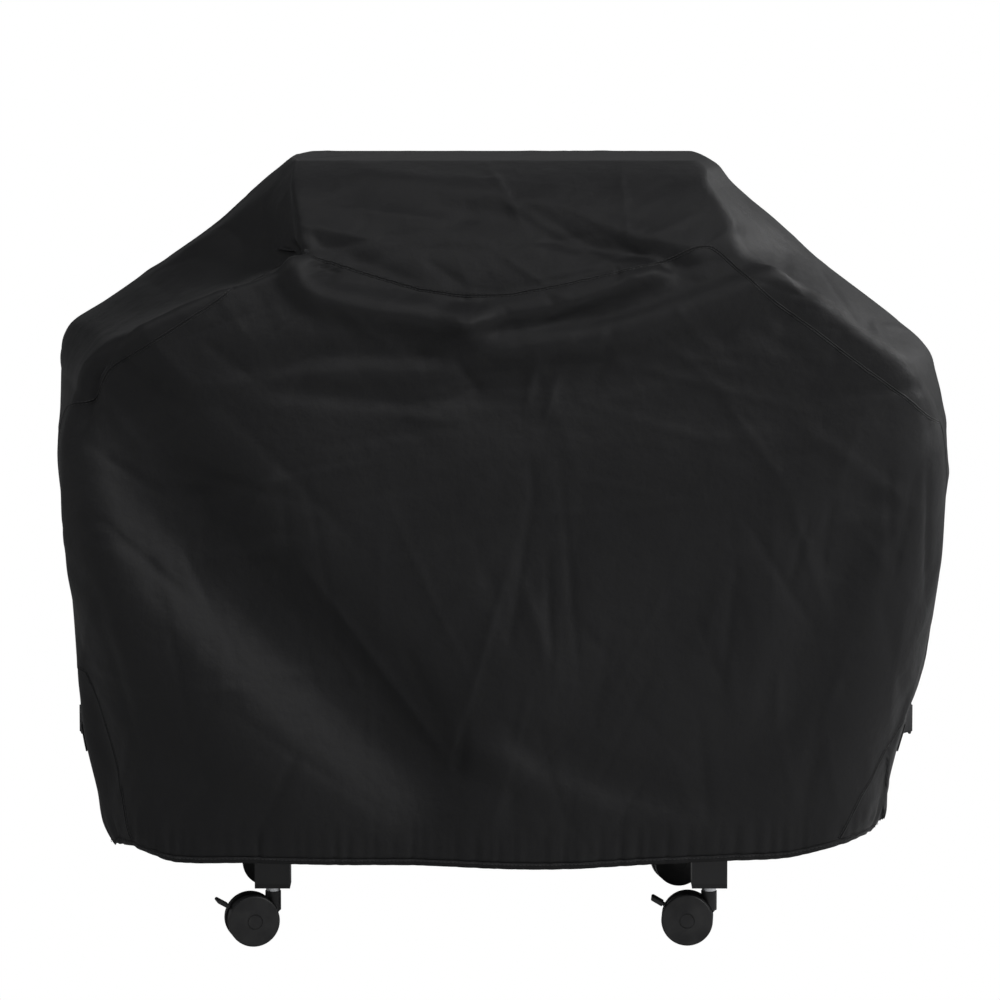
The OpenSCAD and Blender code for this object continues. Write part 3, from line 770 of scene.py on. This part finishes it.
def stitches(name, tree, frames, closed, offsets, pitch=0.0055, length=0.0038, radius=0.00045):
    """Rows of thread stitches that lie on the cloth beside a seam."""
    if closed:
        frames = [np.concatenate([a, a[:1]]) for a in frames]
    run = distances(frames[0])
    want = np.arange(pitch / 2, run[-1] - pitch / 2, pitch)
    at = [np.stack([np.interp(want, run, a[:, k]) for k in range(3)], 1) for a in frames]
    points, faces = [], []
    for spot, normal, ahead, side in zip(*at):
        for reach, height in offsets:
            near, _, _, _ = tree.find_nearest(Vector(spot + side * reach))
            centre = np.array(near) + normal * height
            base = len(points)
            for s, r in THREAD_PROFILE:
                for k in range(THREAD_SIDES):
                    a = 2 * math.pi * k / THREAD_SIDES
                    round_it = side * math.cos(a) + normal * math.sin(a)
                    points.append(centre + ahead * s * length + round_it * r * radius)
            last = base + (len(THREAD_PROFILE) - 1) * THREAD_SIDES
            for start in range(base, last, THREAD_SIDES):
                for k in range(THREAD_SIDES):
                    a, b = start + k, start + (k + 1) % THREAD_SIDES
                    faces.append((a, b, b + THREAD_SIDES, a + THREAD_SIDES))
            faces.append(tuple(base + k for k in range(THREAD_SIDES))[::-1])
            faces.append(tuple(last + k for k in range(THREAD_SIDES)))
    obj = new_object(name, mesh_from(name, points, faces))
    shade_smooth(obj)
    return obj


# -------- the cover's pieces
cover = build_cover()
tree = BVHTree.FromPolygons([v.co[:] for v in cover.vertices], [p.vertices[:] for p in cover.polygons])
panels = {}
for panel, name, node in (
    (FRONT, "front_cloth", "front_panel"), (REAR, "rear_cloth", "rear_panel"),
    (GUSSET, "gusset_cloth", "gusset_panel"), (HEM, "hem_fold", "hem_band"),
):
    panels[panel] = panel_object(name, cover, panel)
    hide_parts(node)

# Two laps with a groove between them, each held by a row of stitches, and a tape inside.
LAP, GROOVE, LAP_FOOT = 0.0028, 0.0007, -0.0004
LAP_LEFT = [
    (-LAP, LAP_FOOT), (-LAP, 0.0000), (-LAP + 0.0010, 0.0004), (-0.0013, 0.0007), (-GROOVE, 0.0004),
    (-GROOVE, LAP_FOOT),
]
LAP_RIGHT = [(-x, h) for x, h in reversed(LAP_LEFT)]
TAPE, TAPE_UPPER, TAPE_LOWER = 0.010, -0.0014, -0.0019
TAPE_SECTION = [(x, TAPE_UPPER) for x in (-TAPE, 0, TAPE)] + [(x, TAPE_LOWER) for x in (TAPE, 0, -TAPE)]
SEAM_THREADS = [(-0.0018, 0.0003), (0.0018, 0.0003)]  # across the seam, above the cloth
HEM_THREADS = [(-0.0022, 0.0016)]
cover_parts = list(panels.values())
seam_parts = {}
for panel, name in ((FRONT, "front"), (REAR, "rear")):
    path, closed = chain(cover, panel, {GUSSET})
    frames = seam_frames(cover, path, closed)
    laps = [swept("lap", laid_section(tree, frames, section), closed) for section in (LAP_LEFT, LAP_RIGHT)]
    seam = join_meshes(name + "_seam_laps", laps)
    tape = swept(name + "_seam_tape_inside", laid_section(tree, frames, TAPE_SECTION), closed)
    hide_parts(name + "_seam_tape")
    thread = stitches(name + "_seam_stitches", tree, frames, closed, SEAM_THREADS)
    seam_parts[name] = (seam, tape, thread)
    cover_parts += [seam, tape, thread]
hem_path, hem_closed = chain(cover, HEM, {FRONT, REAR, GUSSET})
hem_frames = seam_frames(cover, hem_path, hem_closed)
hem_thread = stitches("hem_stitches", tree, hem_frames, hem_closed, HEM_THREADS)
cover_parts.append(hem_thread)

# -------- side straps and rings
STRAP_LOW, STRAP_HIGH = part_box("left_strap_front")
STRAP_Z = (STRAP_LOW.z + STRAP_HIGH.z) / 2
STRAP_W = STRAP_HIGH.z - STRAP_LOW.z
SEWN_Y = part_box("left_strap_rear")[1].y  # depth of the seam that holds the straps
RING_LOW, RING_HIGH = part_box("left_strap_ring")
BAR_R, WEB_T = 0.0022, 0.0018  # radius of a ring's bar, thickness of the webbing
CLEARANCE = 0.0006  # between webbing and cloth
RING_CLEARANCE = 0.0008  # between ring, webbing and cloth
WRAP_GAP = 0.0002  # between the webbing's loop and the bar
LIFT_OFF = 0.016  # how far short of the bar a strap leaves the cloth
RING_CORNER = 0.005
RETURN_REACHES = (0.008, 0.016, 0.026, 0.038, 0.050)  # where the webbing lies back over itself, from the bar


def side_surface(sign, y, z):
    """How far out the cloth's side lies at a depth and height."""
    hit, _, _, _ = tree.ray_cast(Vector((sign, y, z)), Vector((-sign, 0, 0)))
    return abs(hit.x)


def ring_x(sign):
    """How far out the middle of a ring's bars lies, clear of the cloth and of one strap under it."""
    heights = [STRAP_Z + dz for dz in (-0.022, 0, 0.022)]
    spots = [side_surface(sign, y, z) for y in (-0.016, 0, 0.016) for z in heights]
    return max(spots) + WEB_T + BAR_R + RING_CLEARANCE


def strap(name, sign, end):
    """A strap from its seam to the ring, round the ring's bar and back over itself.
    end is -1 for the front strap and 1 for the rear one."""
    bar_y = end * (RING_HIGH.y - BAR_R)
    out = ring_x(sign)
    wrap = BAR_R + WEB_T / 2 + WRAP_GAP
    heights = np.linspace(-STRAP_W / 2, STRAP_W / 2, 7)
    under = np.linspace(end * SEWN_Y, bar_y + end * LIFT_OFF, 30)
    lines = []
    for dz in heights:
        base = np.array([side_surface(sign, y, STRAP_Z + dz) for y in under])
        base = softened(base[:, None], 6, False)[:, 0] + WEB_T / 2 + CLEARANCE
        path = list(zip(under, base))
        for a in np.radians(np.linspace(-90, 90, 9)):
            path.append((bar_y - end * wrap * math.cos(a), out + wrap * math.sin(a)))
        for step, reach in enumerate(RETURN_REACHES):
            y = bar_y + end * reach
            rest = np.interp(abs(y), np.sort(np.abs(under)), base[np.argsort(np.abs(under))])
            top = rest + WEB_T * 1.15
            path.append((y, max(top, out + wrap - (out + wrap - top) * (step + 1) / 3)))
        lines.append(softened(np.array(path), 1, False))
    lines = np.array(lines)
    middle = lines.mean(0)
    along = np.gradient(middle, axis=0)
    along /= np.linalg.norm(along, axis=1)[:, None]
    outward = np.stack([-along[:, 1], along[:, 0]], 1)
    rows = []
    for i in range(lines.shape[1]):
        lift = outward[i] * WEB_T / 2
        face = [(line[i] + lift, dz) for line, dz in zip(lines, heights)]
        back = [(line[i] - lift, dz) for line, dz in zip(lines, heights)][::-1]
        rows.append([(sign * yx[1], yx[0], STRAP_Z + dz) for yx, dz in face + back])
    return swept(name, np.array(rows), False)


def strap_ring(name, sign):
    """A rectangular ring of round bar with rounded corners."""
    out = ring_x(sign)
    reach_y = RING_HIGH.y - BAR_R - RING_CORNER
    reach_z = (RING_HIGH.z - RING_LOW.z) / 2 - BAR_R - RING_CORNER
    path = []
    for start, cy, cz in ((0, 1, 1), (90, -1, 1), (180, -1, -1), (270, 1, -1)):
        for a in np.radians(np.linspace(start, start + 90, 7)):
            path.append((cy * reach_y + RING_CORNER * math.cos(a), cz * reach_z + RING_CORNER * math.sin(a)))
    path = np.array(path)
    along = np.roll(path, -1, 0) - np.roll(path, 1, 0)
    along /= np.linalg.norm(along, axis=1)[:, None]
    rows = []
    for (y, z), (ty, tz) in zip(path, along):
        section = []
        for a in np.linspace(0, 2 * math.pi, 13)[:-1]:
            inward, outward = BAR_R * math.cos(a), BAR_R * math.sin(a)
            section.append((sign * (out + outward), y - tz * inward, STRAP_Z + z + ty * inward))
        rows.append(section)
    return swept(name, np.array(rows), True)


strap_parts, ring_parts = [], []
for sign, side in ((-1, "left"), (1, "right")):
    for end, place in ((-1, "front"), (1, "rear")):
        web = strap(side + "_strap_web_" + place, sign, end)
        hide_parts(side + "_strap_" + place)
        strap_parts.append(web)
    loop = strap_ring(side + "_ring", sign)
    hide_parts(side + "_strap_ring")
    ring_parts.append(loop)
cover_parts += strap_parts + ring_parts
for part in cover_parts:
    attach(part, "cover")
bpy.data.meshes.remove(cover)


# -------- finishes
def add(ns, kind, inputs=None, **values):
    """A new node with its inputs and properties set."""
    node = ns.new(kind)
    for key, value in values.items():
        setattr(node, key, value)
    for key, value in (inputs or {}).items():
        node.inputs[key].default_value = value
    return node


def new_material(name, **inputs):
    """A material, its nodes, its link function and its shader, with constants set on the shader."""
    mat = bpy.data.materials.new(name)
    mat.use_nodes = True
    ns = mat.node_tree.nodes
    shader = ns["Principled BSDF"]
    for key, value in inputs.items():
        shader.inputs[key.replace("_", " ")].default_value = value
    return mat, ns, mat.node_tree.links.new, shader


def noise_texture(ns, link, vector, scale, detail):
    node = add(ns, "ShaderNodeTexNoise", {"Scale": scale, "Detail": detail})
    link(vector, node.inputs["Vector"])
    return node.outputs["Fac"]


def two_tones(ns, link, factor, dark, light, top):
    """A colour that goes from dark to light as the factor goes from 0.35 to top."""
    node = add(ns, "ShaderNodeValToRGB")
    first, last = node.color_ramp.elements
    first.position, last.position = 0.35, top
    first.color, last.color = (*dark, 1), (*light, 1)
    link(factor, node.inputs["Fac"])
    return node.outputs["Color"]


def roughen(ns, link, factor, rough, shader):
    node = add(ns, "ShaderNodeMapRange", {"To Min": rough[0], "To Max": rough[1]})
    link(factor, node.inputs["Value"])
    link(node.outputs["Result"], shader.inputs["Roughness"])


def raised(ns, link, height, distance, target):
    """A bump whose normal goes to the target input."""
    node = add(ns, "ShaderNodeBump", {"Distance": distance})
    link(height, node.inputs["Height"])
    link(node.outputs["Normal"], target)
    return node


def finish_material(name, dark, light, rough, metallic=0.0, grain=600.0, grain_height=0.00004, patch=9.0,
                    stretch=(1, 1, 1), coat=0.0):
    """A paint, plastic or metal with soft patches in its colour and a fine grain."""
    mat, ns, link, shader = new_material(name, Metallic=metallic, Coat_Weight=coat)
    where = add(ns, "ShaderNodeTexCoord").outputs["Object"]
    scale = add(ns, "ShaderNodeMapping", {"Scale": stretch})
    link(where, scale.inputs["Vector"])
    patches = noise_texture(ns, link, where, patch, 5)
    link(two_tones(ns, link, patches, dark, light, 0.7), shader.inputs["Base Color"])
    fine = noise_texture(ns, link, scale.outputs["Vector"], grain, 3)
    roughen(ns, link, fine, rough, shader)
    raised(ns, link, fine, grain_height, shader.inputs["Normal"])
    return mat


def cloth_material(name, dark, light, pitch=0.0011, height=0.00012, rough=(0.50, 0.66)):
    """Plain-woven polyester: crossing threads in the cloth's own coordinates, dusty patches, a satin face."""
    mat, ns, link, shader = new_material(
        name, Specular_IOR_Level=0.30, Sheen_Weight=0.05, Sheen_Roughness=0.4
    )
    where = add(ns, "ShaderNodeTexCoord")
    woven = add(ns, "ShaderNodeMath", operation="MAXIMUM")
    for k, direction in enumerate("XY"):
        waves = {"Scale": math.pi / (10 * pitch), "Distortion": 0.6, "Detail Scale": 2.0}
        wave = add(ns, "ShaderNodeTexWave", waves, bands_direction=direction)
        link(where.outputs["UV"], wave.inputs["Vector"])
        link(wave.outputs["Fac"], woven.inputs[k])
    patches = noise_texture(ns, link, where.outputs["Object"], 6.0, 6)
    shade = add(ns, "ShaderNodeMix", {"Factor": 0.35}, data_type="RGBA", blend_type="MULTIPLY")
    link(two_tones(ns, link, patches, dark, light, 0.72), shade.inputs["A"])
    link(woven.outputs["Value"], shade.inputs["B"])
    link(shade.outputs["Result"], shader.inputs["Base Color"])
    roughen(ns, link, patches, rough, shader)
    weave = raised(ns, link, woven.outputs["Value"], height, shader.inputs["Normal"])
    slack = noise_texture(ns, link, where.outputs["Object"], 28.0, 6)
    raised(ns, link, slack, 0.0028, weave.inputs["Normal"])
    return mat


def grey(level, blue):
    """A near-neutral colour, a little bluer than it is red and green."""
    return level, level, blue


CLOTHS = {  # dark and light tone
    "cover_cloth": (grey(0.0105, 0.0115), grey(0.0150, 0.0160)),
    "hem_cloth": (grey(0.0100, 0.0110), grey(0.0140, 0.0150)),
}
FINISHES = {  # dark and light tone, least and most roughness, and what differs from the usual
    "seam_tape": (grey(0.030, 0.032), grey(0.040, 0.043), (0.30, 0.45), {}),
    "webbing": (grey(0.010, 0.011), grey(0.016, 0.017), (0.55, 0.75),
                dict(grain=260, grain_height=0.0003, stretch=(1, 4, 1))),
    "ring_plastic": (grey(0.012, 0.013), grey(0.020, 0.021), (0.35, 0.55), {}),
    "hood_enamel": (grey(0.018, 0.020), grey(0.024, 0.026), (0.22, 0.34), dict(grain=900, coat=0.2)),
    "handle_steel": (grey(0.50, 0.51), grey(0.62, 0.63), (0.24, 0.40),
                     dict(metallic=1.0, grain=900, stretch=(0.05, 1, 1))),
    "knob_plastic": (grey(0.014, 0.015), grey(0.020, 0.021), (0.15, 0.30), {}),
    "frame_paint": (grey(0.014, 0.015), grey(0.024, 0.026), (0.34, 0.50),
                    dict(grain=1100, grain_height=0.00008)),
    "socket_plastic": (grey(0.012, 0.013), grey(0.020, 0.021), (0.50, 0.70), {}),
    "zinc_steel": ((0.52, 0.53, 0.55), (0.72, 0.73, 0.75), (0.18, 0.36), dict(metallic=1.0, patch=40)),
    "castor_plastic": (grey(0.012, 0.013), grey(0.022, 0.023), (0.36, 0.55), dict(patch=30)),
    "wheel_plastic": (grey(0.013, 0.014), grey(0.030, 0.030), (0.38, 0.62), dict(patch=45)),
}
finishes = {name: cloth_material(name, *tones) for name, tones in CLOTHS.items()}
for name, (dark, light, rough, others) in FINISHES.items():
    finishes[name] = finish_material(name, dark, light, rough, **others)
thread_finish = finish_material("thread", grey(0.020, 0.021), grey(0.032, 0.034), (0.4, 0.6), grain=3000)
EDGE_WIDTH, EDGE_ANGLE = 0.0006, math.radians(40)


def dress(obj, slot, material=None):
    obj.data.materials.clear()
    obj.data.materials.append(material or finishes[slot])


for panel in (FRONT, REAR, GUSSET):
    dress(panels[panel], "cover_cloth")
dress(panels[HEM], "hem_cloth")
for seam, tape, thread in seam_parts.values():
    dress(seam, "cover_cloth")
    dress(tape, "seam_tape")
    dress(thread, "cover_cloth", thread_finish)
dress(hem_thread, "hem_cloth", thread_finish)
for web in strap_parts:
    dress(web, "webbing")
for loop in ring_parts:
    dress(loop, "ring_plastic")
slots = {part["node"]: part["material_slot"] for part in frame["record"]["subparts"]}
for name, node in nodes.items():
    if not node.hide_render:
        dress(node, slots[name])
        edge = node.modifiers.new("edge", "BEVEL")
        edge.width = EDGE_WIDTH
        edge.segments = 2
        edge.limit_method = "ANGLE"
        edge.angle_limit = EDGE_ANGLE

# -------- floor, light and camera
def camera_sees(ns, link, others, camera_only, surface):
    """One shader for the camera's own rays and another for all other rays."""
    rays, mix = add(ns, "ShaderNodeLightPath"), add(ns, "ShaderNodeMixShader")
    link(rays.outputs["Is Camera Ray"], mix.inputs["Fac"])
    link(others, mix.inputs[1])
    link(camera_only, mix.inputs[2])
    link(mix.outputs["Shader"], surface)


FLOOR_HALF = 9  # half the floor's width, in metres
FLOOR_GREY = 0.80
floor_corners = [(x * FLOOR_HALF, y * FLOOR_HALF, 0) for x, y in ((-1, -1), (1, -1), (1, 1), (-1, 1))]
floor = new_object("floor", mesh_from("floor", floor_corners, [(0, 1, 2, 3)]))
floor_tone = (*grey(FLOOR_GREY, FLOOR_GREY), 1)
pale, ns, link, shader = new_material("pale_floor", Base_Color=floor_tone, Roughness=0.9)
glow = add(ns, "ShaderNodeEmission", {"Strength": 1.0})
surface = ns["Material Output"].inputs["Surface"]
camera_sees(ns, link, shader.outputs["BSDF"], glow.outputs["Emission"], surface)
floor.data.materials.append(pale)

world = bpy.data.worlds.new("studio")
world.use_nodes = True
bpy.context.scene.world = world
ns, link = world.node_tree.nodes, world.node_tree.links.new
ns.clear()
room = add(ns, "ShaderNodeBackground", {"Color": (0.96, 0.98, 1.0, 1), "Strength": 0.11})
backdrop = add(ns, "ShaderNodeBackground", {"Color": (1, 1, 1, 1), "Strength": 1.0})
output = add(ns, "ShaderNodeOutputWorld")
camera_sees(ns, link, room.outputs["Background"], backdrop.outputs["Background"], output.inputs["Surface"])


def softbox(name, place, aim, width, height, power):
    data = bpy.data.lights.new(name, "AREA")
    data.shape = "RECTANGLE"
    data.size, data.size_y, data.energy = width, height, power
    lamp = new_object(name, data)
    lamp.location = place
    lamp.rotation_euler = (Vector(aim) - Vector(place)).to_track_quat("-Z", "Y").to_euler()


# Name, place, aim, width, height, power in watts.
softbox("key", (2.8, 1.1, 2.5), (0.2, 0, 0.8), 1.2, 1.2, 54)
softbox("front_key", (2.9, -2.3, 3.1), (0, 0, 0.65), 1.0, 1.0, 80)
softbox("overhead", (-0.8, -1.3, 2.9), (-0.1, 0, 1.0), 1.0, 0.8, 13)
softbox("left_rim", (-3.0, -0.6, 0.9), (-0.3, 0, 0.6), 0.6, 1.0, 5)

SENSOR_MM, LENS_MM = 36.0, 184.7
TILT = 6.53  # degrees below level
lens = bpy.data.cameras.new("camera")
lens.sensor_width = SENSOR_MM
lens.lens = LENS_MM
camera = new_object("camera", lens)
camera.location = (0.0, EYE_Y, EYE_Z)
camera.rotation_euler = (math.radians(90 - TILT), 0, 0)
bpy.context.scene.camera = camera
bpy.context.scene.view_settings.view_transform = "Standard"
